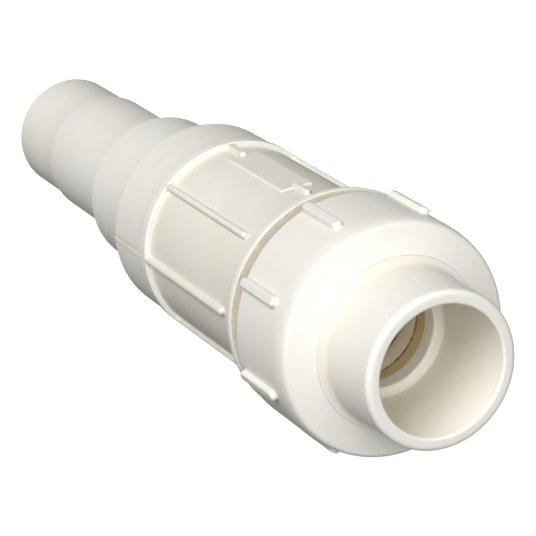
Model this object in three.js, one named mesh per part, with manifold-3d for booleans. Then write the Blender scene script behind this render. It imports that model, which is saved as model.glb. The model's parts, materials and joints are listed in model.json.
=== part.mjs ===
// In-line spring check valve for 1 inch plastic pipe, with a union nut on its inlet socket.
// Millimetres. +X is the flow direction, +Z is up, and the origin is on the axis at mid length.
// Stations along the valve are counted from the inlet mouth and turned into X by at().
import * as THREE from "three";
import { mergeVertices } from "three/addons/utils/BufferGeometryUtils.js";
import Module from "manifold-3d";

const wasm = await Module();
wasm.setup();

// Driving dimensions
const pipeRadius = 16.7;
const overallLength = 230;
const socketDepth = 29;
const socketWall = 3.7;
const flowBoreRadius = 14;
const gap = 0.3;

const nutStart = 21.5;
const nutEnd = 48.6;
const nutRadius = 31;
const nutRibStart = 30.5;
const nutRibWidth = 2.8;
const nutRibHeight = 1.8;
const nutRibAngle = 26.5;

const barrelRadius = 26.1;
const barrelRibStart = 65.5;
const barrelRibWidth = 2.4;
const barrelRibHeight = 1.6;
const barrelRibAngle = 0;
const padStart = 72.5;
const padEnd = 104.2;
const padWidth = 8.8;
const padHeight = 0.8;
const padAngle = -1;
const stubHeight = 1.3;
const collarStart = 111.8;
const collarEnd = 115;
const collarRadius = 27.6;
const shoulderEnd = 134;
const shoulderRadius = 27.2;
const shellStart = 36;
const stopRingStart = 53.2;
const stopRingEnd = 55.6;
const stopRingRadius = 30.5;
const carrierBoreRadius = 22.2;
const chamberRadius = 20.6;
const guideBoreRadius = 21.2;
const outletBoreStart = 106;

const threadPitch = 4;
const threadRoot = 25.9;
const threadDepth = 1.5;
const threadClearance = 0.5;
const threadStart = 38.2;
const threadTurns = 3;

const hubRadius = 22.3;
const flangeStart = 28.8;
const flangeEnd = 34;
const flangeRadius = 25.4;
const slipRingThickness = 0.9;
const gasketThickness = 3.7;
const gasketRadius = 20.8;
const carrierGrooveStart = 41.6;
const carrierGrooveEnd = 44.4;
const seatEnd = 46.5;

const adapterRadius = 21.5;
const adapterEnd = 162.8;
const tailStepRadius = 17.6;
const tailStepEnd = 203.2;
const tailStart = 140.3;
const tailBoreRadius = 13.2;

const stemRadius = 3;
const stemStart = 38;
const stemEnd = 101;
const acrossFlats = 9.4;
const nutThickness = 2.4;
const noseNutStart = 38.9;
const stemNutStart = 93.9;
const lockNutStart = 96.6;
const clampStart = 41.6;
const clampRadius = 12.9;
const poppetLift = 9;
const poppetRadius = 16.8;
const poppetStart = 47.2;
const poppetEnd = 52;
const guideStart = 84.3;
const guideEnd = 91;
const guideHubRadius = 9.9;
const guideRimThickness = 1.9;
const guideArms = 3;
const armWidth = 2.6;
const bushRadius = 4.9;
const bushFlangeRadius = 6.6;
const bushEnd = 92.2;
const snapRingStart = 91.4;
const snapRingEnd = 92.8;
const washerStart = 53.9;
const washerEnd = 54.9;
const springRadius = 8.6;
const wireRadius = 0.9;
const springTurns = 6.5;

const ribCount = 8;
const wideSegments = 36;
const threadSegments = 24;
const slimSegments = 20;

const at = (station) => station - overallLength / 2;

// Geometry helpers

// Drops the zero-area triangles that a profile point on the axis leaves behind.
function withoutSlivers(index) {
  const kept = [];
  for (let i = 0; i < index.length; i += 3) {
    const [a, b, c] = [index[i], index[i + 1], index[i + 2]];
    if (a !== b && b !== c && c !== a) kept.push(a, b, c);
  }
  return kept;
}

function signedVolume(positions, index) {
  const [a, b, c] = [new THREE.Vector3(), new THREE.Vector3(), new THREE.Vector3()];
  let volume = 0;
  for (let i = 0; i < index.length; i += 3) {
    a.fromArray(positions, index[i] * 3);
    b.fromArray(positions, index[i + 1] * 3);
    c.fromArray(positions, index[i + 2] * 3);
    volume += a.dot(b.cross(c)) / 6;
  }
  return volume;
}

// Turns a closed three.js geometry into a solid that can be joined and cut.
function solid(geometry) {
  geometry.deleteAttribute("normal");
  geometry.deleteAttribute("uv");
  const merged = mergeVertices(geometry, 1e-4);
  const vertProperties = new Float32Array(merged.attributes.position.array);
  const index = withoutSlivers(merged.index.array);
  if (signedVolume(vertProperties, index) < 0) index.reverse();
  const triVerts = new Uint32Array(index);
  return new wasm.Manifold(new wasm.Mesh({ numProp: 3, vertProperties, triVerts }));
}

// A closed outline of [station, radius] points turned about the X axis.
function turned(outline, segments = wideSegments) {
  const closes = outline[0][1] > 0;
  const points = closes ? [...outline, outline[0]] : outline;
  const profile = points.map(([station, radius]) => new THREE.Vector2(radius, at(station)));
  return solid(new THREE.LatheGeometry(profile, segments).rotateZ(-Math.PI / 2));
}

// A plain ring between two stations and two radii.
function ring(start, end, inner, outer, segments = wideSegments) {
  return turned([[start, inner], [start, outer], [end, outer], [end, inner]], segments);
}

// A round-section ring, such as an O-ring, about the X axis.
function roundRing(station, radius, sectionRadius, segments = wideSegments) {
  const torus = new THREE.TorusGeometry(radius, sectionRadius, 8, segments);
  return solid(torus.rotateY(Math.PI / 2).translate(at(station), 0, 0));
}

// A section of [along, radius] points swept along a right-hand helix about the X axis.
function helix(section, start, pitch, turns, stepsPerTurn) {
  const steps = Math.round(turns * stepsPerTurn);
  const positions = [];
  const index = [];
  for (let step = 0; step <= steps; step++) {
    const turn = step / stepsPerTurn;
    const angle = turn * Math.PI * 2;
    for (const [along, radius] of section) {
      const x = at(start) + along + turn * pitch;
      positions.push(x, -radius * Math.sin(angle), radius * Math.cos(angle));
    }
  }
  const count = section.length;
  for (let step = 0; step < steps; step++) {
    for (let k = 0; k < count; k++) {
      const a = step * count + k;
      const b = step * count + (k + 1) % count;
      index.push(a, b, b + count, a, b + count, a + count);
    }
  }
  for (let k = 1; k < count - 1; k++) {
    const last = steps * count;
    index.push(0, k + 1, k, last, last + k, last + k + 1);
  }
  const geometry = new THREE.BufferGeometry();
  geometry.setAttribute("position", new THREE.Float32BufferAttribute(positions, 3));
  geometry.setIndex(index);
  return solid(geometry);
}

// The trapezium of the union thread, grown by the clearance for the nut.
function threadSection(clearance) {
  const root = threadRoot - 0.6;
  const crest = threadRoot + threadDepth + clearance;
  const flank = 1.15 + clearance * 0.7;
  return [[-flank, root], [-flank + 0.7, crest], [flank - 0.7, crest], [flank, root]];
}

// A bar that lies along X with its round end towards the inlet, at an angle about the axis.
function rib(start, end, width, seatRadius, height, angle) {
  const half = width / 2;
  const outline = new THREE.Shape();
  outline.moveTo(at(end), half);
  outline.lineTo(at(start) + half, half);
  outline.absarc(at(start) + half, 0, half, Math.PI / 2, Math.PI * 1.5, false);
  outline.lineTo(at(end), -half);
  outline.closePath();
  const sunk = 1.2;
  const depth = height + sunk;
  const bar = new THREE.ExtrudeGeometry(outline, { depth, bevelEnabled: false, curveSegments: 4 });
  bar.translate(0, 0, seatRadius - sunk);
  return solid(bar.rotateX(THREE.MathUtils.degToRad(angle)));
}

// A six-sided nut on the stem.
function hexNut(start) {
  const end = start + nutThickness;
  const corner = acrossFlats / Math.sqrt(3);
  const bore = ring(start - 1, end + 1, 0.2, stemRadius + gap, slimSegments);
  return ring(start, end, 0.5, corner, 6).subtract(bore);
}

// Sub-parts

// The flat, blank pad for a label, which interrupts the top rib.
function labelPad() {
  const sunk = 2;
  const pad = new THREE.BoxGeometry(padEnd - padStart, padWidth, padHeight + sunk);
  pad.translate(at((padStart + padEnd) / 2), 0, barrelRadius + (padHeight - sunk) / 2);
  return solid(pad.rotateX(THREE.MathUtils.degToRad(padAngle)));
}

function bodyShell() {
  let shell = turned([
    [shellStart, carrierBoreRadius], [shellStart, threadRoot - 0.6], [shellStart + 0.8, threadRoot],
    [stopRingStart, threadRoot], [stopRingStart, stopRingRadius - 0.2], [stopRingStart + 0.4, stopRingRadius],
    [stopRingEnd - 0.8, stopRingRadius], [stopRingEnd, stopRingRadius - 0.8], [stopRingEnd, barrelRadius],
    [collarStart, barrelRadius], [collarStart, collarRadius], [collarEnd, collarRadius],
    [collarEnd, shoulderRadius], [shoulderEnd - 1, shoulderRadius], [shoulderEnd, shoulderRadius - 1],
    [shoulderEnd, adapterRadius + gap], [outletBoreStart, adapterRadius + gap], [outletBoreStart, guideBoreRadius],
    [guideStart - gap, guideBoreRadius], [guideStart - gap, chamberRadius],
    [seatEnd + gap, chamberRadius], [seatEnd + gap, carrierBoreRadius],
  ]);
  shell = shell.add(helix(threadSection(0), threadStart, threadPitch, threadTurns, threadSegments));
  const ribEnd = collarStart + 1;
  for (let k = 1; k < ribCount; k++) {
    const angle = barrelRibAngle - k * 360 / ribCount;
    shell = shell.add(rib(barrelRibStart, ribEnd, barrelRibWidth, barrelRadius, barrelRibHeight, angle));
  }
  return shell.add(labelPad())
    .add(rib(barrelRibStart, padStart + 1, barrelRibWidth, barrelRadius, stubHeight, padAngle))
    .add(rib(padEnd - 2, ribEnd, barrelRibWidth, barrelRadius, stubHeight, padAngle))
    .subtract(ring(snapRingStart - gap, snapRingEnd + gap, chamberRadius - 1, guideBoreRadius + 1.2));
}

function unionNut() {
  const bore = hubRadius + gap;
  const cavity = threadRoot + threadClearance;
  const mouth = threadRoot + threadDepth + 0.7;
  const webEnd = flangeStart - slipRingThickness - 2 * gap;
  let nut = turned([
    [nutStart, bore], [nutStart + 1.8, nutRadius - 1.2], [nutStart + 2.4, nutRadius - 0.7],
    [nutStart + 4, nutRadius - 0.3], [nutStart + 6.5, nutRadius],
    [nutEnd - 0.4, nutRadius], [nutEnd, nutRadius - 0.4], [nutEnd, mouth], [nutEnd - 0.6, mouth],
    [nutEnd - 2, cavity], [webEnd, cavity], [webEnd, bore],
  ]);
  const groove = threadSection(threadClearance);
  nut = nut.subtract(helix(groove, threadStart - threadPitch, threadPitch, threadTurns + 2, threadSegments));
  for (let k = 0; k < ribCount; k++) {
    const angle = nutRibAngle - k * 360 / ribCount;
    nut = nut.add(rib(nutRibStart, nutEnd - 0.5, nutRibWidth, nutRadius, nutRibHeight, angle));
  }
  return nut;
}

// The neck swells into a hub that fills the nut's bore, level with the nut's front face.
function endConnector() {
  const neck = pipeRadius + socketWall;
  const swell = hubRadius - neck;
  return turned([
    [0, pipeRadius + 0.9], [0, neck - 1.2], [0.7, neck - 0.3], [1.6, neck], [nutStart - swell, neck],
    [nutStart - swell / 2, neck + swell * 0.13], [nutStart - swell * 0.13, neck + swell / 2],
    [nutStart, hubRadius], [flangeStart, hubRadius], [flangeStart, flangeRadius],
    [flangeEnd - 0.5, flangeRadius], [flangeEnd, flangeRadius - 0.5], [flangeEnd, flowBoreRadius],
    [socketDepth + 1.2, flowBoreRadius], [socketDepth + 0.6, flowBoreRadius + 0.6],
    [socketDepth, pipeRadius - 0.1], [0.8, pipeRadius + 0.1],
  ]);
}

// The slip ring that lets the nut turn on the connector's flange.
function slipRing() {
  const end = flangeStart - gap;
  return ring(end - slipRingThickness, end, hubRadius + gap, flangeRadius - 0.6);
}

function unionGasket() {
  const start = flangeEnd + gap;
  return ring(start, start + gasketThickness, flowBoreRadius + 0.2, gasketRadius);
}

function seatCarrier() {
  const start = flangeEnd + gasketThickness + 2 * gap;
  const rim = carrierBoreRadius - gap;
  const floor = carrierBoreRadius - 2.4;
  return turned([
    [start, flowBoreRadius + 0.1], [start, rim], [carrierGrooveStart, rim], [carrierGrooveStart, floor],
    [carrierGrooveEnd, floor], [carrierGrooveEnd, rim], [seatEnd, rim], [seatEnd, flowBoreRadius + 2.6],
    [carrierGrooveEnd, flowBoreRadius + 0.1],
  ]);
}

function carrierOring() {
  const middle = (carrierGrooveStart + carrierGrooveEnd) / 2;
  return roundRing(middle, carrierBoreRadius - 1.2, 0.88);
}

function poppetDisc() {
  return turned([
    [poppetStart, stemRadius + gap], [poppetStart, poppetRadius - 1], [poppetStart + 0.8, poppetRadius],
    [poppetEnd - 1.6, poppetRadius], [poppetEnd, poppetRadius - 2], [poppetEnd, 11.4], [poppetEnd - 1, 10.6],
    [poppetEnd - 1, 6.2], [poppetEnd + 1.6, 6], [poppetEnd + 1.6, stemRadius + gap],
  ], wideSegments);
}

// The round seal that closes on the carrier's cone.
function poppetSeal() {
  return roundRing(45.9, 14.1, 0.9, wideSegments);
}

// The nose that clamps the seal to the disc.
function sealClamp() {
  const end = poppetStart - gap;
  return turned([
    [clampStart, stemRadius + gap], [clampStart, clampRadius - 3.9], [clampStart + 0.8, clampRadius - 1.5],
    [clampStart + 2.6, clampRadius - 0.3], [end, clampRadius], [end, stemRadius + gap],
  ]);
}

function poppetStem() {
  const tip = stemRadius - 0.6;
  return turned([
    [stemStart, 0], [stemStart, tip], [stemStart + 0.6, stemRadius], [stemEnd - 0.6, stemRadius],
    [stemEnd, tip], [stemEnd, 0],
  ], slimSegments);
}

function springWasher() {
  return ring(washerStart, washerEnd, stemRadius + gap, 10.2, slimSegments);
}

function returnSpring() {
  const start = washerEnd + gap + wireRadius;
  const span = guideStart - gap - wireRadius - start;
  const section = [];
  for (let k = 0; k < 6; k++) {
    const angle = k * Math.PI / 3;
    section.push([wireRadius * Math.cos(angle), springRadius + wireRadius * Math.sin(angle)]);
  }
  return helix(section, start, span / springTurns, springTurns, 14);
}

// The three-armed guide across the chamber.
function stemGuide() {
  const rim = guideBoreRadius - gap;
  const window = rim - guideRimThickness - guideHubRadius;
  let guide = ring(guideStart, guideEnd, bushRadius + gap, guideHubRadius, slimSegments)
    .add(ring(guideStart, guideEnd, rim - guideRimThickness, rim));
  for (let k = 0; k < guideArms; k++) {
    const arm = new THREE.BoxGeometry(guideEnd - guideStart - 1, armWidth, window + 1.2);
    arm.translate(at((guideStart + guideEnd) / 2), 0, guideHubRadius + window / 2);
    guide = guide.add(solid(arm.rotateX(k * Math.PI * 2 / guideArms)));
  }
  return guide;
}

// The long bush that guides the stem, and whose front end stops the poppet at full lift.
function guideBush() {
  const front = washerEnd + poppetLift + gap;
  const bore = stemRadius + gap;
  const shoulder = guideStart - gap;
  return turned([
    [front, bore], [front, bushRadius], [shoulder - 1, bushRadius], [shoulder - 1, bushFlangeRadius],
    [shoulder, bushFlangeRadius], [shoulder, bushRadius], [bushEnd, bushRadius], [bushEnd, bore],
  ], slimSegments);
}

// An open ring in the chamber groove that keeps the guide against its step.
function guideSnapRing() {
  const opening = new THREE.BoxGeometry(4, 9, 12);
  opening.translate(at((snapRingStart + snapRingEnd) / 2), 0, -guideBoreRadius);
  return ring(snapRingStart, snapRingEnd, guideBoreRadius - 1.6, guideBoreRadius + 0.9)
    .subtract(solid(opening));
}

function stopWasher() {
  return ring(bushEnd + gap, bushEnd + gap + 1, stemRadius + gap, 6, slimSegments);
}

function outletAdapter() {
  const start = outletBoreStart + gap;
  return turned([
    [start, adapterRadius - 2], [start, adapterRadius - 1], [start + 1, adapterRadius],
    [adapterEnd - 0.8, adapterRadius], [adapterEnd, adapterRadius - 0.8],
    [adapterEnd, tailStepRadius + gap], [tailStart - gap, tailStepRadius + gap],
    [tailStart - gap, tailBoreRadius], [shoulderEnd, tailBoreRadius], [126, adapterRadius - 4],
  ]);
}

function outletTailpiece() {
  return turned([
    [tailStart, tailBoreRadius], [tailStart, tailStepRadius], [tailStepEnd - 0.6, tailStepRadius],
    [tailStepEnd, pipeRadius], [overallLength - 1.4, pipeRadius], [overallLength, pipeRadius - 1.2],
    [overallLength, tailBoreRadius],
  ]);
}

// Materials

const whitePvc = { color: 0xf2efe6, roughness: 0.4, metalness: 0 };
const creamPvc = { color: 0xe6ddca, roughness: 0.5, metalness: 0 };
const ochreRubber = { color: 0xb08f58, roughness: 0.7, metalness: 0 };
const blackRubber = { color: 0x1d1d1f, roughness: 0.6, metalness: 0 };
const acetal = { color: 0xece9df, roughness: 0.35, metalness: 0 };
const steel = { color: 0xc2c4c6, roughness: 0.3, metalness: 1 };

const valve = new THREE.Group();

function addPart(name, shape, look) {
  const { vertProperties, triVerts } = shape.getMesh();
  const geometry = new THREE.BufferGeometry();
  geometry.setAttribute("position", new THREE.BufferAttribute(vertProperties, 3));
  geometry.setIndex(new THREE.BufferAttribute(triVerts, 1));
  geometry.computeVertexNormals();
  const mesh = new THREE.Mesh(geometry, new THREE.MeshStandardMaterial(look));
  mesh.name = name;
  valve.add(mesh);
}

// Body and outlet
addPart("body_shell", bodyShell(), whitePvc);
addPart("outlet_adapter", outletAdapter(), whitePvc);
addPart("outlet_tailpiece", outletTailpiece(), whitePvc);
addPart("seat_carrier", seatCarrier(), creamPvc);
addPart("carrier_o_ring", carrierOring(), blackRubber);
addPart("union_gasket", unionGasket(), ochreRubber);

// Union
addPart("union_nut", unionNut(), whitePvc);
addPart("end_connector", endConnector(), whitePvc);
addPart("slip_ring", slipRing(), acetal);

// Poppet
addPart("poppet_disc", poppetDisc(), creamPvc);
addPart("poppet_seal", poppetSeal(), blackRubber);
addPart("seal_clamp", sealClamp(), creamPvc);
addPart("poppet_stem", poppetStem(), steel);
addPart("nose_nut", hexNut(noseNutStart), steel);
addPart("spring_washer", springWasher(), steel);
addPart("stop_washer", stopWasher(), steel);
addPart("stem_nut", hexNut(stemNutStart), steel);
addPart("lock_nut", hexNut(lockNutStart), steel);

// Spring and guide
addPart("return_spring", returnSpring(), steel);
addPart("stem_guide", stemGuide(), creamPvc);
addPart("guide_bush", guideBush(), acetal);
addPart("guide_snap_ring", guideSnapRing(), steel);

export default valve;
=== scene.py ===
import json
import math

import bmesh
import bpy
from mathutils import Matrix, Quaternion, Vector


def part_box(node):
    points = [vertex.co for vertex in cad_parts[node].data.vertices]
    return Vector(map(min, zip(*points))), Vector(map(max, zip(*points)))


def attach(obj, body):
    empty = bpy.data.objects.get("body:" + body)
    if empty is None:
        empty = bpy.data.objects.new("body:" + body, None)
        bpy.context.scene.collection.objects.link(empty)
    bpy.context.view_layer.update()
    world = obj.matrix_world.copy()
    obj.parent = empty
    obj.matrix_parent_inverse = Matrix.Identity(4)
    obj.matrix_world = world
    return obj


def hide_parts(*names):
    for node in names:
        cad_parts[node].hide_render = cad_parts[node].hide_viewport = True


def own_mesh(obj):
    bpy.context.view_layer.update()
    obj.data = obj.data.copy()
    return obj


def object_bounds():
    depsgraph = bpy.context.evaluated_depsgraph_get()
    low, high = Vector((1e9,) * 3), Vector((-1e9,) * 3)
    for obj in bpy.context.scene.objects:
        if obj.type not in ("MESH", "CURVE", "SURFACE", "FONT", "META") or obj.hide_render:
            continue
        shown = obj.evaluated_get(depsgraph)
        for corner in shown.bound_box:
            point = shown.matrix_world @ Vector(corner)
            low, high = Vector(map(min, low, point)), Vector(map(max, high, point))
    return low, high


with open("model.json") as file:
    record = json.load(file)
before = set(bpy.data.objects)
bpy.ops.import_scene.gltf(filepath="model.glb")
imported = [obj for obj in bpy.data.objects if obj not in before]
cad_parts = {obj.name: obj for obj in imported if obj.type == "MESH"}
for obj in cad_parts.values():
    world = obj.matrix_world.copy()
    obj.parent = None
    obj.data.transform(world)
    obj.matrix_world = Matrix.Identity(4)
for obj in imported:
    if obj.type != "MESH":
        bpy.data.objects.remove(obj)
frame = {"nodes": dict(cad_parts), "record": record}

cadLow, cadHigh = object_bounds()
mm = 0.001
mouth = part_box("end_connector")[0].x  # the inlet mouth, where every station starts
flowAxis = (1, 0, 0)
print("frame loaded,", len(frame["nodes"]), "CAD nodes")


def reach(node):  # a node's first and last station and its radius at the top, in mm
    low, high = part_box(node)
    return (low.x - mouth) / mm, (high.x - mouth) / mm, high.z / mm


class Signal:  # one output socket, with Python's operators for shader maths
    def __init__(self, finish, socket):
        self.finish = finish
        self.socket = socket

    def maths(self, operation, first, second):
        return self.finish.node("Math", {"operation": operation}, {0: first, 1: second})

    def __add__(self, other):
        return self.maths("ADD", self, other)

    def __radd__(self, other):
        return self.maths("ADD", other, self)

    def __sub__(self, other):
        return self.maths("SUBTRACT", self, other)

    def __rsub__(self, other):
        return self.maths("SUBTRACT", other, self)

    def __mul__(self, other):
        return self.maths("MULTIPLY", self, other)

    def __rmul__(self, other):
        return self.maths("MULTIPLY", other, self)


class Finish:  # a material while it is being wired
    def __init__(self, name):
        self.material = bpy.data.materials.new(name)
        self.material.use_nodes = True
        self.tree = self.material.node_tree
        self.tree.nodes.clear()

    def node(self, kind, settings, sockets, output=0):
        made = self.tree.nodes.new("ShaderNode" + kind)
        for key, value in settings.items():
            if key == "stops":
                self.setStops(made.color_ramp, value)
            else:
                setattr(made, key, value)
        for key, value in sockets.items():
            if isinstance(value, Signal):
                self.tree.links.new(value.socket, made.inputs[key])
            else:
                made.inputs[key].default_value = value
        return Signal(self, made.outputs[output])

    def setStops(self, ramp, stops):
        for position, shade in stops[len(ramp.elements):]:
            ramp.elements.new(position)
        for element, (position, shade) in zip(ramp.elements, stops):
            element.position = position
            element.color = (shade, shade, shade, 1)

    def place(self, stretch=(1, 1, 1)):  # the piece's own coordinates, in metres
        coords = self.node("TexCoord", {}, {}, "Object")
        return self.node("Mapping", {"vector_type": "POINT"}, {"Vector": coords, "Scale": stretch})

    def noise(self, scale, detail=3, roughness=0.5, stretch=(1, 1, 1)):
        return self.node("TexNoise", {}, {"Vector": self.place(stretch), "Scale": scale,
                                          "Detail": detail, "Roughness": roughness})

    def ramp(self, signal, low, high):  # stretches the part between two levels to 0..1
        return self.node("ValToRGB", {"stops": [(low, 0), (high, 1)]}, {"Fac": signal})

    def attribute(self, name):
        return self.node("Attribute", {"attribute_name": name}, {}, 2)

    def mixColour(self, factor, first, second):
        colours = {0: factor, 6: first if isinstance(first, Signal) else (*first, 1),
                   7: second if isinstance(second, Signal) else (*second, 1)}
        return self.node("Mix", {"data_type": "RGBA"}, colours, 2)

    def bump(self, height, strength, distance):
        return self.node("Bump", {}, {"Height": height, "Strength": strength, "Distance": distance})

    def surface(self, sockets):
        shader = self.node("BsdfPrincipled", {}, sockets)
        output = self.tree.nodes.new("ShaderNodeOutputMaterial")
        self.tree.links.new(shader.socket, output.inputs["Surface"])
        return self.material


# each look's last colour is the painted shade for gaps, recesses and corners
# the inside colours are painted bounce light for surfaces in the bores
plasticLooks = {
    "whitePvc": {"main": (0.87, 0.857, 0.795), "tint": (0.83, 0.81, 0.73), "inside": (0.91, 0.87, 0.765),
                 "grime": (0.76, 0.69, 0.56), "roughness": 0.36, "grainHeight": 0.000022, "glow": 0.04},
    "creamPvc": {"main": (0.88, 0.80, 0.63), "tint": (0.77, 0.67, 0.50), "inside": (0.90, 0.81, 0.62),
                 "grime": (0.16, 0.105, 0.05), "roughness": 0.5, "grainHeight": 0.00007, "glow": 0.02},
    "acetal": {"main": (0.84, 0.83, 0.78), "tint": (0.80, 0.78, 0.72), "inside": (0.82, 0.80, 0.75),
               "grime": (0.70, 0.66, 0.57), "roughness": 0.28, "grainHeight": 0.000006, "glow": 0.05},
}

# the tone of the painted highlight on convex edges
edgeHighlightTone = (0.9, 0.89, 0.85)


def mouldedPlastic(name):
    look = plasticLooks[name]
    finish = Finish(name)
    clouds = finish.ramp(finish.noise(38, 3, 0.55), 0.3, 0.7)  # slow drift of colour from moulding
    speckle = finish.ramp(finish.noise(2600, 2, 0.5), 0.62, 0.8)
    outside = finish.mixColour(clouds * 0.8, look["main"], look["tint"])
    bore = finish.attribute("bore")  # surfaces that face the axis; their warmer colour is painted bounce light in the bores
    base = finish.mixColour(bore * (0.85 + 0.15 * clouds), outside, look["inside"])
    edgeHighlight = finish.ramp(finish.attribute("edge"), 0.55, 0.8)  # painted edge highlight: lighter and smoother on convex edges
    cornerShade = 1 - finish.ramp(finish.attribute("edge"), 0.2, 0.45)  # painted shade: a little darker in concave corners
    cornerShaded = finish.mixColour(cornerShade * (0.25 + 0.3 * clouds), base, look["grime"])
    highlighted = finish.mixColour(edgeHighlight * 0.35, cornerShaded, edgeHighlightTone)
    # painted shade, mottled by noise, on the marked stations of gaps and recesses
    gapShade = finish.attribute("grime") * (0.55 + 0.45 * finish.ramp(finish.noise(900, 3, 0.6), 0.4, 0.6))
    gapShaded = finish.mixColour(gapShade, highlighted, look["grime"])
    colour = finish.mixColour(speckle * 0.12, gapShaded, look["tint"])
    grain = finish.noise(1700, 4, 0.6)
    orangePeel = finish.noise(420, 2, 0.4)
    flow = finish.noise(95, 3, 0.6, (0.25, 1, 1))  # long faint flow marks along the axis
    height = grain * 0.6 + orangePeel + flow * 0.8
    roughness = look["roughness"] + 0.12 * finish.ramp(flow, 0.35, 0.65) + 0.06 * grain - 0.06 * edgeHighlight
    return finish.surface({
        "Base Color": colour, "Roughness": roughness, "IOR": 1.53,
        "Subsurface Weight": look["glow"], "Subsurface Radius": (1.0, 0.85, 0.6), "Subsurface Scale": 0.002,
        "Normal": finish.bump(height, 0.5, look["grainHeight"]),
    })


def elastomer(name, main, tint, roughness):
    finish = Finish(name)
    clouds = finish.ramp(finish.noise(120, 4, 0.6), 0.3, 0.7)
    bloom = finish.ramp(finish.noise(900, 3, 0.6), 0.55, 0.75)
    bloomed = finish.mixColour(bloom * 0.35, finish.mixColour(clouds, main, tint), [1.4 * part for part in main])
    # painted shade, darkening the marked stations
    colour = finish.mixColour(finish.attribute("grime") * 0.85, bloomed, [0.25 * part for part in tint])
    grain = finish.noise(2200, 4, 0.65)
    return finish.surface({
        "Base Color": colour, "Roughness": roughness + 0.15 * grain, "IOR": 1.52,
        "Normal": finish.bump(grain, 0.6, 0.00004),
    })


def stainlessSteel():
    finish = Finish("stainlessSteel")
    turning = finish.noise(900, 2, 0.6, (8, 1, 1))  # fine lathe rings along the axis
    smear = finish.ramp(finish.noise(160, 3, 0.6), 0.35, 0.7)
    colour = finish.mixColour(smear * 0.5, (0.60, 0.60, 0.59), (0.50, 0.50, 0.495))
    return finish.surface({
        "Base Color": colour, "Metallic": 1.0, "Roughness": 0.2 + 0.14 * turning + 0.08 * smear,
        "Normal": finish.bump(turning, 0.35, 0.00001),
    })


finishes = {
    "white_pvc": mouldedPlastic("whitePvc"),
    "cream_pvc": mouldedPlastic("creamPvc"),
    "acetal": mouldedPlastic("acetal"),
    "ochre_rubber": elastomer("ochreRubber", (0.72, 0.56, 0.32), (0.62, 0.46, 0.24), 0.55),
    "black_rubber": elastomer("blackRubber", (0.022, 0.022, 0.024), (0.03, 0.03, 0.03), 0.45),
    "stainless": stainlessSteel(),
}
print("finishes wired")


bodyOf = {node: body for body, nodes in frame["record"]["behaviour"]["bodies"].items() for node in nodes}
slotOf = {row["node"]: row["material_slot"] for row in frame["record"]["subparts"]}
wideSteps = 168
slimSteps = 96
barArcs = 5  # facets in a moulded bar's foot and crown
barDraft = 0.06
barRoot = 0.5  # how far a bar is sunk into what carries it
thinnest = 0.004
bite = 0.03  # bars start this far inside the surface that they stand on


def roundCorners(bm, corners):  # corners: {radius in mm: [vertices]}
    for radius, verts in corners.items():
        if radius > 0:
            bmesh.ops.bevel(bm, geom=verts, offset=radius * mm, offset_type="OFFSET", segments=5,
                            profile=0.5, affect="VERTICES", material=-1, clamp_overlap=True)


def spinOutline(outline, steps=wideSteps):
    # outline: (station, radius, corner rounding) in mm; it closes on itself unless it starts on the axis
    bm = bmesh.new()
    corners = {}
    verts = []
    for station, radius, rounding in outline:
        vert = bm.verts.new((mouth + station * mm, 0, radius * mm))
        verts.append(vert)
        corners.setdefault(rounding, []).append(vert)
    for first, second in zip(verts, verts[1:]):
        bm.edges.new((first, second))
    if outline[0][1] > 0:
        bm.edges.new((verts[-1], verts[0]))
    roundCorners(bm, corners)
    bmesh.ops.spin(bm, geom=bm.verts[:] + bm.edges[:], cent=(0, 0, 0), axis=flowAxis,
                   angle=math.tau, steps=steps, use_merge=True)
    bmesh.ops.remove_doubles(bm, verts=bm.verts[:], dist=1e-6)
    bmesh.ops.recalc_face_normals(bm, faces=bm.faces[:])
    return bm


def spinRing(start, end, inner, outer, rounding=0.25, steps=slimSteps):
    return spinOutline([(start, inner, rounding), (start, outer, rounding),
                        (end, outer, rounding), (end, inner, rounding)], steps)


def turnAbout(bm, degrees):  # about the flow axis
    bmesh.ops.rotate(bm, verts=bm.verts[:], cent=(0, 0, 0),
                     matrix=Matrix.Rotation(math.radians(degrees), 3, "X"))
    return bm


def addTo(bm, other):  # joins one bmesh to another
    scratch = bpy.data.meshes.new("scratch")
    other.to_mesh(scratch)
    other.free()
    bm.from_mesh(scratch)
    bpy.data.meshes.remove(scratch)
    return bm


def sweepHelix(section, start, pitch, turns, stepsPerTurn=60):
    # a closed section of (along, radius) points in mm, swept as a right-hand helix
    bm = bmesh.new()
    verts = [bm.verts.new((mouth + (start + along) * mm, 0, radius * mm)) for along, radius in section]
    bm.faces.new(verts)
    bmesh.ops.spin(bm, geom=bm.verts[:] + bm.edges[:] + bm.faces[:], cent=(0, 0, 0), axis=flowAxis,
                   dvec=(pitch * mm / stepsPerTurn, 0, 0), angle=turns * math.tau,
                   steps=round(turns * stepsPerTurn), use_merge=False)
    bmesh.ops.recalc_face_normals(bm, faces=bm.faces[:])
    return bm


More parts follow.
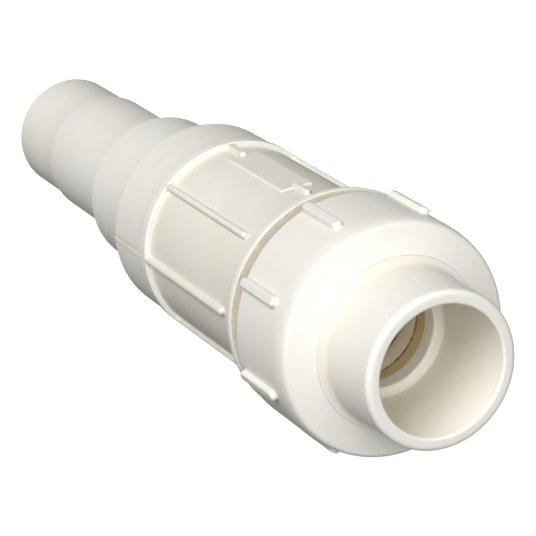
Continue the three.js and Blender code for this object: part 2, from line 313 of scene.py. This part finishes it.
def mouldedBar(start, end, seat, angle, bar):
    # a bar with round ends, a filleted foot and a rounded crown, laid along the axis on a cylinder
    width, height, foot, crown = bar["width"], bar["height"], bar["foot"], bar["crown"]
    bm = bmesh.new()
    spread = width + 2 * foot
    bmesh.ops.create_circle(bm, cap_ends=True, segments=32, radius=spread / 2 * mm)
    length = end - start - width
    for vert in bm.verts:
        vert.co.x += (length / 2 if vert.co.x > 0 else -length / 2) * mm
    face = bm.faces[:][0]
    face.normal_update()
    if face.normal.z < 0:
        bmesh.ops.reverse_faces(bm, faces=[face])
    arcs = [(math.pi / 2 * k / barArcs, math.pi / 2 * (k + 1) / barArcs) for k in range(barArcs)]
    steps = [(foot * (math.sin(b) - math.sin(a)), foot * (math.cos(a) - math.cos(b))) for a, b in arcs]
    steps.append((barDraft, height - foot - crown))
    steps += [(crown * (math.cos(a) - math.cos(b)), crown * (math.sin(b) - math.sin(a))) for a, b in arcs]
    for thickness, depth in steps:  # up the curved foot, the drafted side and the rolled crown
        bmesh.ops.inset_individual(bm, faces=[face], thickness=max(thickness, thinnest) * mm,
                                   depth=max(depth, thinnest) * mm, use_even_offset=True)
    rim = [edge for edge in bm.edges if edge.is_boundary]
    grown = bmesh.ops.extrude_edge_only(bm, edges=rim)
    sunk = [item for item in grown["geom"] if isinstance(item, bmesh.types.BMVert)]
    bmesh.ops.translate(bm, verts=sunk, vec=(0, 0, -barRoot * mm))
    bmesh.ops.holes_fill(bm, edges=[edge for edge in bm.edges if edge.is_boundary], sides=0)
    bmesh.ops.recalc_face_normals(bm, faces=bm.faces[:])
    for vert in bm.verts:
        x, y, z = vert.co
        radius = seat * mm + z
        turn = y / (seat * mm)
        vert.co = (x, radius * math.sin(turn), radius * math.cos(turn))
    bmesh.ops.translate(bm, verts=bm.verts[:], vec=(mouth + (start + end) / 2 * mm, 0, 0))
    return turnAbout(bm, angle)


def makeObject(bm, name):
    mesh = bpy.data.meshes.new(name)
    bm.to_mesh(mesh)
    bm.free()
    piece = bpy.data.objects.new(name, mesh)
    bpy.context.scene.collection.objects.link(piece)
    return piece


def fuse(piece, extra):  # joins a second solid to a piece as one skin
    tool = makeObject(extra, piece.name + "Tool")
    union = piece.modifiers.new("Union", "BOOLEAN")
    union.operation = "UNION"
    union.solver = "EXACT"
    union.object = tool
    graph = bpy.context.evaluated_depsgraph_get()
    joined = bpy.data.meshes.new_from_object(piece.evaluated_get(graph))
    piece.modifiers.clear()
    bm = bmesh.new()
    bm.from_mesh(joined)
    bmesh.ops.dissolve_degenerate(bm, dist=1e-6, edges=bm.edges[:])  # slivers along the join shade badly
    bm.to_mesh(joined)
    bm.free()
    piece.data = joined
    bpy.data.objects.remove(tool)
    return piece


def markSurface(mesh, grime):  # notes which surfaces face the axis, where the edges are and where shade is painted
    shadeMask = mesh.attributes.new("grime", "FLOAT", "POINT")
    for vert, item in zip(mesh.vertices, shadeMask.data):
        item.value = float(grime[0] <= (vert.co.x - mouth) / mm <= grime[1])
    bore = mesh.attributes.new("bore", "FLOAT", "POINT")
    for vert, item in zip(mesh.vertices, bore.data):
        outward = Vector((0, vert.co.y, vert.co.z)).normalized()
        item.value = min(1, max(0, -1.4 * vert.normal.dot(outward)))
    bends = [0] * len(mesh.vertices)
    for edge in mesh.edges:  # how far each surface bends away from its neighbours
        first, second = (mesh.vertices[index] for index in edge.vertices)
        along = (second.co - first.co).normalized()
        bend = 0.5 * (second.normal - first.normal).dot(along)
        for vert in (first, second):
            if abs(bend) > abs(bends[vert.index]):
                bends[vert.index] = bend
    edgeNote = mesh.attributes.new("edge", "FLOAT", "POINT")
    for bend, item in zip(bends, edgeNote.data):
        item.value = min(1, max(0, 0.5 + 2 * bend))


def finishPiece(piece, node, sharp=38, grime=(1, 0)):  # the last argument gives the stations between which shade is painted
    mesh = piece.data
    markSurface(mesh, grime)
    mesh.materials.clear()
    mesh.materials.append(finishes[slotOf[node]])
    for polygon in mesh.polygons:
        polygon.material_index = 0
    mesh.shade_smooth()
    mesh.set_sharp_from_angle(angle=math.radians(sharp))
    weighted = piece.modifiers.new("Weighted normals", "WEIGHTED_NORMAL")
    weighted.keep_sharp = True
    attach(piece, bodyOf[node])
    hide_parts(node)
    print("made", piece.name, len(mesh.polygons), "faces")
    return piece


connector = {"neck": 20.4, "socket": 16.85, "socketFloor": 16.6, "socketDepth": 29, "bore": 14,
             "hub": 22.49, "hubStart": 21.5, "flangeStart": 28.8, "lip": 1.5, "innerLip": 0.7}


def makeConnector():
    start, end, flange = reach("end_connector")
    swell = connector["hub"] - connector["neck"]
    bm = spinOutline([
        (start, connector["socket"], connector["innerLip"]),
        (start, connector["neck"], connector["lip"]),
        (connector["hubStart"], connector["neck"], swell - 0.25),
        (connector["hubStart"], connector["hub"], 0.08),
        (connector["flangeStart"], connector["hub"], 0.15),
        (connector["flangeStart"], flange, 0.4),
        (end, flange, 0.5),
        (end, connector["bore"], 0.4),
        (connector["socketDepth"], connector["bore"], 0.7),
        (connector["socketDepth"], connector["socketFloor"], 0.9),
    ])
    return finishPiece(makeObject(bm, "endConnector"), "end_connector")


nut = {"radius": 31, "bore": 22.55, "dome": 2, "ribs": 8, "ribTurn": 26.5, "ribStart": 30.5,
       "rib": {"width": 2.8, "height": 1.7, "foot": 0.4, "crown": 0.65}, "webEnd": 27.3, "cavity": 26.4,
       "stepStart": 34.4, "stepEnd": 35, "threadFloor": 27.9, "threadPitch": 4, "firstLand": 36.2,
       "landTurns": 2.6}


def makeNut():
    start, end, _ = reach("union_nut")
    outer = nut["radius"]
    floor = nut["threadFloor"]
    piece = makeObject(spinOutline([
        (start, nut["bore"], 0.08), (start + nut["dome"], outer - 0.85, 0.8),
        (start + nut["dome"] + 1.6, outer - 0.25, 0.9), (start + nut["dome"] + 4.5, outer + 0.05, 1.2),
        (end, outer, 0.45), (end, floor + 0.3, 0.2),
        (end - 0.6, floor + 0.3, 0.1), (end - 0.9, floor, 0.1),
        (nut["stepEnd"], floor, 0.1), (nut["stepStart"], nut["cavity"], 0.2), (nut["webEnd"], nut["cavity"], 0.3),
        (nut["webEnd"], nut["bore"], 0.3),
    ]), "unionNut")
    extras = bmesh.new()
    for k in range(nut["ribs"]):
        addTo(extras, mouldedBar(nut["ribStart"], end - 0.2, outer - bite, nut["ribTurn"] - k * 360 / nut["ribs"],
                                 nut["rib"]))
    land = [(-1.2, floor + 0.5), (-1.2, floor), (-0.8, nut["cavity"]), (0.8, nut["cavity"]), (1.2, floor),
            (1.2, floor + 0.5)]
    addTo(extras, sweepHelix(land, nut["firstLand"], nut["threadPitch"], nut["landTurns"]))
    return finishPiece(fuse(piece, extras), "union_nut")


shell = {"barrel": 26.1, "threadRoot": 25.9, "threadCrest": 27.4, "threadStart": 38.2, "threadPitch": 4,
         "threadTurns": 3, "stopStart": 53.2, "stopEnd": 55.6, "stop": 30.5, "collarStart": 111.8,
         "collarEnd": 115, "collar": 27.6, "shoulder": 27.15, "carrierBore": 22.2, "carrierEnd": 46.8,
         "chamber": 20.6, "guideStart": 84, "guideBore": 21.2, "guideEnd": 106, "outletBore": 21.8,
         "ribs": 8, "ribStart": 65.5, "rib": {"width": 2.0, "height": 1.5, "foot": 0.3, "crown": 0.8},
         "stub": {"width": 2.0, "height": 1.25, "foot": 0.3, "crown": 0.6}, "stubOverlap": 1.4,
         "seam": {"width": 0.3, "height": 0.11, "foot": 0.02, "crown": 0.05}}
pad = {"start": 72.5, "end": 104.2, "width": 8.8, "height": 0.3, "sunk": 2, "turn": -1, "tilt": -4, "edge": 0.35}


def labelPad():  # a flat plate with softened edges, sunk into the barrel
    bm = bmesh.new()
    start, end = pad["start"], pad["end"]
    bmesh.ops.create_cube(bm, size=1)
    bmesh.ops.scale(bm, verts=bm.verts[:], vec=((end - start) * mm, pad["width"] * mm,
                                                (pad["height"] + pad["sunk"]) * mm))
    aside = shell["barrel"] * math.sin(math.radians(pad["tilt"] - pad["turn"]))
    middle = shell["barrel"] + (pad["height"] - pad["sunk"]) / 2
    bmesh.ops.translate(bm, verts=bm.verts[:], vec=(mouth + (start + end) / 2 * mm, aside * mm, middle * mm))
    top = max(vert.co.z for vert in bm.verts)
    rim = [edge for edge in bm.edges if min(vert.co.z for vert in edge.verts) > top - 0.1 * mm]
    bmesh.ops.bevel(bm, geom=rim, offset=pad["edge"] * mm, offset_type="OFFSET", segments=4, profile=0.5,
                    affect="EDGES", material=-1)
    turnAbout(bm, pad["tilt"])
    bmesh.ops.recalc_face_normals(bm, faces=bm.faces[:])
    return bm


def makeShell():
    start, end, _ = reach("body_shell")
    barrel = shell["barrel"]
    piece = makeObject(spinOutline([
        (start, shell["carrierBore"], 0.3), (start, shell["threadRoot"], 0.5),
        (shell["stopStart"], shell["threadRoot"], 0.3), (shell["stopStart"], shell["stop"], 0.4),
        (shell["stopEnd"], shell["stop"], 0.8), (shell["stopEnd"], barrel, 0.4),
        (shell["collarStart"], barrel, 0.25), (shell["collarStart"], shell["collar"], 0.4),
        (shell["collarEnd"], shell["collar"], 0.4),
        (shell["collarEnd"] + 0.1, shell["shoulder"], 0.2), (end, shell["shoulder"] - 0.1, 1.3),
        (end, shell["outletBore"], 0.25), (shell["guideEnd"], shell["outletBore"], 0.2),
        (shell["guideEnd"], shell["guideBore"], 0.2), (shell["guideStart"], shell["guideBore"], 0.2),
        (shell["guideStart"], shell["chamber"], 0.2), (shell["carrierEnd"], shell["chamber"], 0.2),
        (shell["carrierEnd"], shell["carrierBore"], 0.2),
    ]), "bodyShell")
    extras = bmesh.new()
    ribEnd = shell["collarStart"] + 1.6
    for k in range(1, shell["ribs"]):
        addTo(extras, mouldedBar(shell["ribStart"], ribEnd, barrel - bite, -k * 360 / shell["ribs"], shell["rib"]))
    root, crest = shell["threadRoot"], shell["threadCrest"]
    ridge = [(-1.15, root - 0.5), (-1.05, root), (-0.45, crest), (0.45, crest), (1.05, root), (1.15, root - 0.5)]
    addTo(extras, sweepHelix(ridge, shell["threadStart"], shell["threadPitch"], shell["threadTurns"]))
    fuse(piece, extras)
    fuse(piece, labelPad())
    stubs = bmesh.new()
    overlap = shell["stubOverlap"]
    for stubStart, stubEnd in ((shell["ribStart"], pad["start"] + overlap), (pad["end"] - overlap, ribEnd)):
        addTo(stubs, mouldedBar(stubStart, stubEnd, barrel - bite, pad["turn"], shell["stub"]))
    fuse(piece, stubs)
    partingLine = bmesh.new()
    for turn in (-90, 90):  # the mould's parting line, along both sides
        addTo(partingLine, mouldedBar(shell["collarEnd"] + 0.4, end - 0.5, shell["shoulder"] - bite, turn,
                                      shell["seam"]))
    shadedGap = (shell["carrierEnd"] - 0.8, shell["stopStart"] + 0.05)  # the gap behind the nut, where its shade is painted
    return finishPiece(fuse(piece, partingLine), "body_shell", grime=shadedGap)


outlet = {"adapterBore": 17.9, "bore": 13.2, "coneStart": 126, "coneEnd": 134, "pocketFloor": 140,
          "step": 17.6, "stepEnd": 203.2, "pipe": 16.7}


def makeAdapter():
    start, end, radius = reach("outlet_adapter")
    bm = spinOutline([
        (start, radius - 2, 0.3), (start, radius - 1, 0.2), (start + 1, radius, 0.3), (end, radius, 0.7),
        (end, outlet["adapterBore"], 0.4), (outlet["pocketFloor"], outlet["adapterBore"], 0.2),
        (outlet["pocketFloor"], outlet["bore"], 0.3), (outlet["coneEnd"], outlet["bore"], 2.0),
        (outlet["coneStart"], radius - 4, 2.0),
    ])
    return finishPiece(makeObject(bm, "outletAdapter"), "outlet_adapter")


def makeTailpiece():
    start, end, _ = reach("outlet_tailpiece")
    bm = spinOutline([
        (start, outlet["bore"], 0.3), (start, outlet["step"], 0.4), (outlet["stepEnd"] - 0.3, outlet["step"], 0.5),
        (outlet["stepEnd"], outlet["pipe"], 0.25), (end - 1.4, outlet["pipe"], 0.3),
        (end, outlet["pipe"] - 1.1, 0.3), (end, outlet["bore"], 0.5),
    ])
    return finishPiece(makeObject(bm, "outletTailpiece"), "outlet_tailpiece")


seat = {"bore": 14.1, "cone": 16.6, "grooveDepth": 2.1, "grooveStart": 41.6, "grooveEnd": 44.4}


def makeSeat():
    start, end, radius = reach("union_gasket")
    gasket = spinRing(start, end, seat["bore"] + 0.1, radius, 0.3, wideSteps)
    # painted shade on the gasket's front face, deep in the socket
    finishPiece(makeObject(gasket, "unionGasket"), "union_gasket", grime=(start - 1, start + 0.05))
    start, end, radius = reach("seat_carrier")
    floor = radius - seat["grooveDepth"]
    carrier = spinOutline([
        (start, seat["bore"], 0.12), (start, radius, 0.4), (seat["grooveStart"], radius, 0.2),
        (seat["grooveStart"], floor, 0.3), (seat["grooveEnd"], floor, 0.3), (seat["grooveEnd"], radius, 0.2),
        (end, radius, 0.4), (end, seat["cone"], 0.2), (seat["grooveEnd"], seat["bore"], 0.3),
    ])
    # painted shade on the carrier's front face
    finishPiece(makeObject(carrier, "seatCarrier"), "seat_carrier", grime=(start - 1, start + 0.1))
    start, end, radius = reach("slip_ring")
    finishPiece(makeObject(spinRing(start, end, connector["hub"] + 0.3, radius, 0.2), "slipRing"), "slip_ring")


def makeRoundRing(name, node, steps=wideSteps):  # an O-ring of the CAD ring's size
    start, end, radius = reach(node)
    section = (end - start) / 2
    bm = bmesh.new()
    bmesh.ops.create_circle(bm, segments=28, radius=section * mm,
                            matrix=Matrix.Translation((mouth + (start + end) / 2 * mm, 0, (radius - section) * mm))
                            @ Matrix.Rotation(math.pi / 2, 4, "X"))
    bmesh.ops.spin(bm, geom=bm.verts[:] + bm.edges[:], cent=(0, 0, 0), axis=flowAxis, angle=math.tau,
                   steps=steps, use_merge=True)
    bmesh.ops.recalc_face_normals(bm, faces=bm.faces[:])
    return finishPiece(makeObject(bm, name), node)


poppet = {"stemBore": 3.3, "hubRadius": 6, "dishInner": 6.4, "dishOuter": 11, "hubStands": 1.6,
          "nose": 9, "brow": 11.4, "acrossFlats": 9.4, "nutChamfer": 0.45}


def makePoppet():
    bore = poppet["stemBore"]
    start, end, radius = reach("poppet_disc")
    rear = end - poppet["hubStands"]
    disc = spinOutline([
        (start, bore, 0.2), (start, radius, 0.7), (rear - 1.6, radius, 0.5), (rear, radius - 2, 0.4),
        (rear, poppet["dishOuter"], 0.4), (rear - 1, poppet["dishOuter"] - 0.6, 0.4),
        (rear - 1, poppet["dishInner"], 0.5), (end, poppet["hubRadius"], 0.4), (end, bore, 0.2),
    ], slimSteps)
    finishPiece(makeObject(disc, "poppetDisc"), "poppet_disc")
    start, end, radius = reach("seal_clamp")
    clamp = spinOutline([
        (start, bore, 0.2), (start, poppet["nose"], 0.8), (start + 0.8, poppet["brow"], 0.9),
        (start + 2.6, radius - 0.3, 0.8),
        (end, radius, 0.2), (end, bore, 0.2),
    ], slimSteps)
    finishPiece(makeObject(clamp, "sealClamp"), "seal_clamp")
    start, end, radius = reach("poppet_stem")
    stem = spinOutline([(start, 0, 0), (start, radius, 0.5), (end, radius, 0.5), (end, 0, 0)], 48)
    finishPiece(makeObject(stem, "poppetStem"), "poppet_stem")
    for name, node in (("springWasher", "spring_washer"), ("stopWasher", "stop_washer")):
        start, end, radius = reach(node)
        finishPiece(makeObject(spinRing(start, end, bore, radius, 0.2, 72), name), node)


def makeHexNut(name, node):  # turned with chamfers, then its flats are pressed in
    start, end, _ = reach(node)
    flat = poppet["acrossFlats"] / 2
    corner = flat / math.cos(math.pi / 6)
    chamfer = poppet["nutChamfer"]
    bm = spinOutline([
        (start, poppet["stemBore"], 0.3), (start, flat - 0.1, 0), (start + chamfer, corner, 0),
        (end - chamfer, corner, 0), (end, flat - 0.1, 0), (end, poppet["stemBore"], 0.3),
    ], slimSteps)
    for vert in bm.verts:
        radius = math.hypot(vert.co.y, vert.co.z)
        side = (math.atan2(vert.co.y, vert.co.z) + math.pi / 6) % (math.pi / 3) - math.pi / 6
        limit = flat * mm / math.cos(side)
        if radius > limit:
            vert.co.y *= limit / radius
            vert.co.z *= limit / radius
    return finishPiece(makeObject(bm, name), node, sharp=25)


spring = {"wire": 0.9, "radius": 8.6, "closedTurns": 1, "openTurns": 4.6, "sides": 14}
guide = {"hub": 9.9, "hubBore": 5.2, "rimWall": 1.9, "arms": 3, "armWidth": 2.6, "armEdge": 0.6,
         "bush": 4.9, "bushLip": 6.6, "lipStart": 1.3, "lipEnd": 0.3}


def makeSpring():
    start, end, _ = reach("return_spring")
    wire = spring["wire"]
    bm = bmesh.new()
    bmesh.ops.create_circle(bm, cap_ends=True, segments=spring["sides"], radius=wire * mm,
                            matrix=Matrix.Translation((mouth + (start + wire) * mm, 0, spring["radius"] * mm))
                            @ Matrix.Rotation(math.pi / 2, 4, "X"))
    closedPitch = 2.05 * wire
    openTravel = end - start - 2 * wire - 2 * spring["closedTurns"] * closedPitch
    stages = [(spring["closedTurns"], closedPitch), (spring["openTurns"], openTravel / spring["openTurns"]),
              (spring["closedTurns"], closedPitch)]
    last = bm.verts[:] + bm.edges[:] + bm.faces[:]
    for turns, pitch in stages:
        steps = round(turns * 48)
        spun = bmesh.ops.spin(bm, geom=last, cent=(0, 0, 0), axis=flowAxis, angle=turns * math.tau,
                              dvec=(turns * pitch * mm / steps, 0, 0), steps=steps, use_merge=False)
        last = spun["geom_last"]
    bmesh.ops.remove_doubles(bm, verts=bm.verts[:], dist=1e-7)
    bmesh.ops.recalc_face_normals(bm, faces=bm.faces[:])
    piece = finishPiece(makeObject(bm, "returnSpring"), "return_spring")
    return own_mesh(piece)


def makeGuide():
    start, end, radius = reach("stem_guide")
    rim = radius - guide["rimWall"]
    hub = spinRing(start, end, guide["hubBore"], guide["hub"], 0.5)
    piece = makeObject(hub, "stemGuide")
    fuse(piece, spinRing(start, end, rim, radius, 0.4))
    arms = bmesh.new()
    for k in range(guide["arms"]):
        arm = bmesh.new()
        bmesh.ops.create_cube(arm, size=1)
        bmesh.ops.scale(arm, verts=arm.verts[:], vec=((end - start - 1) * mm, guide["armWidth"] * mm,
                                                      (rim - guide["hub"] + 1.6) * mm))
        upright = [edge for edge in arm.edges if abs(edge.verts[0].co.z - edge.verts[1].co.z) > mm]
        bmesh.ops.bevel(arm, geom=upright, offset=guide["armEdge"] * mm, offset_type="OFFSET", segments=4,
                        profile=0.5, affect="EDGES", material=-1)
        bmesh.ops.translate(arm, verts=arm.verts[:], vec=(mouth + (start + end) / 2 * mm, 0,
                                                          (rim + guide["hub"]) / 2 * mm))
        addTo(arms, turnAbout(arm, 360 * k / guide["arms"]))
    finishPiece(fuse(piece, arms), "stem_guide")
    lipStart, lipEnd = start - guide["lipStart"], start - guide["lipEnd"]
    start, end, _ = reach("guide_bush")
    bush = spinOutline([
        (start, poppet["stemBore"], 0.2), (start, guide["bush"], 0.5), (lipStart, guide["bush"], 0.1),
        (lipStart, guide["bushLip"], 0.3), (lipEnd, guide["bushLip"], 0.2), (lipEnd, guide["bush"], 0.1),
        (end, guide["bush"], 0.4), (end, poppet["stemBore"], 0.2),
    ], 72)
    finishPiece(makeObject(bush, "guideBush"), "guide_bush")


snapRing = {"inner": 19.6, "outer": 22.1, "opening": 24, "round": 0.25}


def makeSnapRing():
    start, end, _ = reach("guide_snap_ring")
    bm = bmesh.new()
    sectionPoints = [(start, snapRing["inner"]), (start, snapRing["outer"]), (end, snapRing["outer"]),
                     (end, snapRing["inner"])]
    verts = [bm.verts.new((mouth + station * mm, 0, radius * mm)) for station, radius in sectionPoints]
    bm.faces.new(verts)
    turnAbout(bm, 180 + snapRing["opening"] / 2)
    bmesh.ops.spin(bm, geom=bm.verts[:] + bm.edges[:] + bm.faces[:], cent=(0, 0, 0), axis=flowAxis,
                   angle=math.radians(360 - snapRing["opening"]), steps=120, use_merge=False)
    bmesh.ops.recalc_face_normals(bm, faces=bm.faces[:])
    piece = makeObject(bm, "guideSnapRing")
    soften = piece.modifiers.new("Edges", "BEVEL")
    soften.width = snapRing["round"] * mm
    soften.segments = 3
    soften.limit_method = "ANGLE"
    return finishPiece(piece, "guide_snap_ring")


makeConnector()
makeNut()
makeShell()
makeAdapter()
makeTailpiece()
makeSeat()
makeRoundRing("carrierORing", "carrier_o_ring")
makeRoundRing("poppetSeal", "poppet_seal")
makePoppet()
for name, node in (("noseNut", "nose_nut"), ("stemNut", "stem_nut"), ("lockNut", "lock_nut")):
    makeHexNut(name, node)
makeSpring()
makeGuide()
makeSnapRing()
print("pieces made")


studio = {"floorSize": 6, "floorShade": 0.93, "floorGlow": 0.95, "world": 0.2,
          "key": {"azimuth": 122, "elevation": 46, "distance": 3, "size": 1.8, "power": 60},
          "front": {"azimuth": 148, "elevation": 32, "distance": 3, "size": 1.5, "power": 23},
          "fill": {"azimuth": 178, "elevation": 14, "distance": 3, "size": 1.5, "power": 18},
          "bounce": {"azimuth": 162, "elevation": 6, "distance": 3, "size": 1.8, "power": 14}}
view = {"target": (-23.92, 1.34, -1.52), "azimuth": 154.91, "elevation": 20.54, "roll": -3.72,
        "distance": 752.06, "lens": 190.99}


def around(azimuth, elevation, distance):
    a, e = math.radians(azimuth), math.radians(elevation)
    return Vector((math.cos(a) * math.cos(e), math.sin(a) * math.cos(e), math.sin(e))) * distance


def makeFloor():
    finish = Finish("paleFloor")
    drift = finish.noise(3, 2, 0.5)
    shade = studio["floorShade"]
    colour = finish.mixColour(drift, (shade, shade, shade), (shade * 0.99, shade * 0.99, shade * 0.985))
    material = finish.surface({"Base Color": colour, "Roughness": 0.9, "Specular IOR Level": 0.1,
                               "Emission Color": colour, "Emission Strength": studio["floorGlow"]})
    bm = bmesh.new()
    bmesh.ops.create_grid(bm, x_segments=2, y_segments=2, size=studio["floorSize"] / 2)
    bmesh.ops.translate(bm, verts=bm.verts[:], vec=(0, 0, cadLow.z - 0.0005))
    floor = makeObject(bm, "floor")
    floor.data.materials.append(material)
    floor.visible_diffuse = False
    floor.visible_glossy = False


def makeLight(name):
    light = studio[name]
    data = bpy.data.lights.new(name, "AREA")
    data.shape = "DISK"
    data.size = light["size"]
    data.energy = light["power"]
    lamp = bpy.data.objects.new(name, data)
    lamp.location = around(light["azimuth"], light["elevation"], light["distance"])
    lamp.rotation_euler = (-lamp.location).to_track_quat("-Z", "Y").to_euler()
    bpy.context.scene.collection.objects.link(lamp)


def makeCamera():
    data = bpy.data.cameras.new("camera")
    data.lens = view["lens"]
    data.sensor_width = 36
    data.clip_start = 0.01
    data.clip_end = 20
    camera = bpy.data.objects.new("camera", data)
    target = Vector(view["target"]) * mm
    back = around(view["azimuth"], view["elevation"], view["distance"] * mm)
    camera.location = target + back
    camera.rotation_mode = "QUATERNION"
    roll = Quaternion((0, 0, 1), math.radians(view["roll"]))
    camera.rotation_quaternion = (-back).to_track_quat("-Z", "Y") @ roll
    bpy.context.scene.collection.objects.link(camera)
    bpy.context.scene.camera = camera


makeFloor()
for name in ("key", "front", "fill", "bounce"):
    makeLight(name)
makeCamera()
world = bpy.data.worlds.new("studio")
world.use_nodes = True
world.node_tree.nodes["Background"].inputs["Color"].default_value = (1, 1, 1, 1)
world.node_tree.nodes["Background"].inputs["Strength"].default_value = studio["world"]
bpy.context.scene.world = world
bpy.context.scene.view_settings.view_transform = "Standard"
print("stage set")
